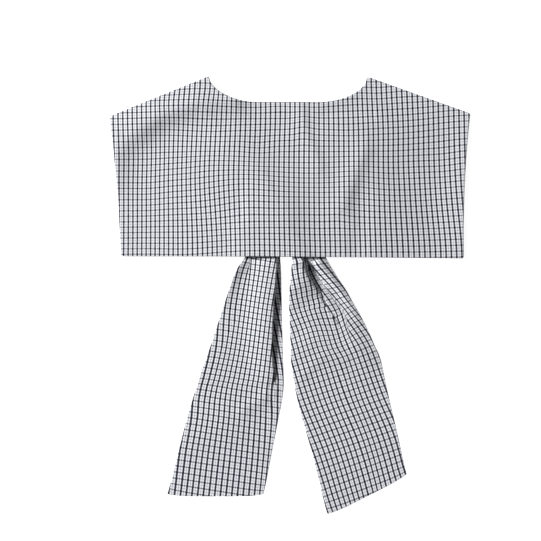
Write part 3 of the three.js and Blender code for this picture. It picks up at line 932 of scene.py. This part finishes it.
def build_tie(name, table, check_table, folds, drags, material):
    """One tie, through the cross-sections of its table, with its pleat, its folds and its check."""
    places, from_top, to_end, inset = tie_places(table)
    row = columns_at(table, TIE_COLUMNS, places)
    check = columns_at(check_table, CHECK_COLUMNS, places)
    outer = np.stack([row["ox"], row["oy"]], -1)
    inner = np.stack([row["ix"], row["iy"]], -1)
    width = np.linalg.norm(outer - inner, axis=1)
    reach, layers, hump = tie_profile(row, width, inset)
    across = reach / width[:, None]
    flat = inner[:, None] + (outer - inner)[:, None] * across[..., None]
    near_end = np.clip(1 - to_end / END_REACH, 0, 1)[:, None]
    flat[..., 1] += END_ROUND * np.abs(2 * across - 1) ** END_SQUARENESS * near_end
    x, y = flat[..., 0], flat[..., 1]
    over_pleat = np.where(np.arange(reach.shape[1]) < MAIN_STEPS, 1, layers / 2)
    height = row["rise"][:, None] * layers + row["swell"][:, None] * hump
    free = 1 - smooth(y, *UNDER_HEM)
    height += relief([fold for fold in folds if not fold["flap"]], x, y) * free
    height += relief([fold for fold in folds if fold["flap"]], x, y) * free * over_pleat
    ground = np.maximum(row["base"], 0)[:, None] + TIE_THICKNESS / 2
    middle = np.dstack([flat, ground + np.maximum(height, 0)])
    run = along_path(middle)
    chart = dragged(tie_chart(row, check, reach, run), drags, x, y)
    inside = np.minimum(np.minimum(run, run[:, -1:] - run), np.minimum(from_top, to_end)[:, None])
    rounding = quarter_round(inside / TIE_EDGE_ROLL)
    # Sections start at the outer edge, so those of a tie on the right are turned round.
    if table[0][0] > table[0][2]:
        middle, rounding, chart = middle[:, ::-1], rounding[:, ::-1], chart[:, ::-1]
    middle, rounding, chart = middle.swapaxes(0, 1), rounding.T, chart.swapaxes(0, 1)
    half = grid_normals(middle) * (TIE_THICKNESS / 2 * rounding)[..., None]
    return cloth_piece(name, middle + half, middle - half, chart, chart + UNDERSIDE_SHIFT, material)


tie_cotton = check_cotton(
    "check_cotton_ties", warp_stripe_width=0.33, warp_darkness=0.99, weft_darkness=0.6, softness=0.035
)
for label, table, check_table, folds, drags, area in (
    ("left", TIE_LEFT, CHECK_LEFT, TIE_LEFT_FOLDS, [], 0.060),
    ("right", TIE_RIGHT, CHECK_RIGHT, TIE_RIGHT_FOLDS, TIE_RIGHT_DRAGS, 0.056),
):
    tie = build_tie(f"tie_{label}_cloth", table, check_table, folds, drags, tie_cotton)
    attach(tie, "root")
    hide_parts(f"tie_{label}")


# Floor, light and camera: the capelet lies on a plain white floor, seen from straight above, with
# one large soft light from the neck end on the left and a pale room all round.
FLOOR_SIZE = 40
FLOOR_GREY = 0.4
FLOOR_GLOW = 0.92
KEY_PLACE = (-6.25, 2.35, 4.63)
KEY_AIM = (0, 0.1, 0)
KEY_SIZE = 2.2
KEY_POWER = 1130
ROOM_STRENGTH = 0.12

# The picture's width and centre, on the level of the cloth, and a long lens far above it. The lens
# and its sensor are in millimetres.
FRAME_WIDTH = 0.8656
FRAME_CENTRE = (-0.031, 0.040)
CLOTH_HEIGHT = 0.006
LENS = 150
SENSOR = 36


def floor():
    """The floor glows, so that it stays white where the light is weaker, and keeps soft shadows."""
    mesh = bpy.data.meshes.new("floor")
    half = FLOOR_SIZE / 2
    corners = [(-half, -half, 0), (half, -half, 0), (half, half, 0), (-half, half, 0)]
    mesh.from_pydata(corners, [], [(0, 1, 2, 3)])
    material = bpy.data.materials.new("white_floor")
    material.use_nodes = True
    shader = material.node_tree.nodes["Principled BSDF"]
    shader.inputs["Base Color"].default_value = (FLOOR_GREY, FLOOR_GREY, FLOOR_GREY, 1)
    shader.inputs["Roughness"].default_value = 1
    shader.inputs["Specular IOR Level"].default_value = 0
    shader.inputs["Emission Color"].default_value = (1, 1, 1, 1)
    shader.inputs["Emission Strength"].default_value = FLOOR_GLOW
    mesh.materials.append(material)
    ground = bpy.data.objects.new("floor", mesh)
    bpy.context.scene.collection.objects.link(ground)


def light():
    """A large round key light, and the pale room's own light."""
    data = bpy.data.lights.new("key", "AREA")
    data.shape = "DISK"
    data.size = KEY_SIZE
    data.energy = KEY_POWER
    lamp = bpy.data.objects.new("key", data)
    lamp.location = KEY_PLACE
    aim = Vector(KEY_AIM) - Vector(KEY_PLACE)
    lamp.rotation_euler = aim.to_track_quat("-Z", "Y").to_euler()
    bpy.context.scene.collection.objects.link(lamp)
    world = bpy.data.worlds.new("room")
    world.use_nodes = True
    sky = world.node_tree.nodes["Background"]
    sky.inputs["Color"].default_value = (1, 1, 1, 1)
    sky.inputs["Strength"].default_value = ROOM_STRENGTH
    bpy.context.scene.world = world


def camera():
    """Straight above the picture's centre, looking down."""
    data = bpy.data.cameras.new("camera")
    data.lens = LENS
    data.sensor_width = SENSOR
    eye = bpy.data.objects.new("camera", data)
    eye.location = (*FRAME_CENTRE, FRAME_WIDTH * LENS / SENSOR + CLOTH_HEIGHT)
    bpy.context.scene.collection.objects.link(eye)
    bpy.context.scene.camera = eye


floor()
light()
camera()
bpy.context.scene.view_settings.view_transform = "Standard"
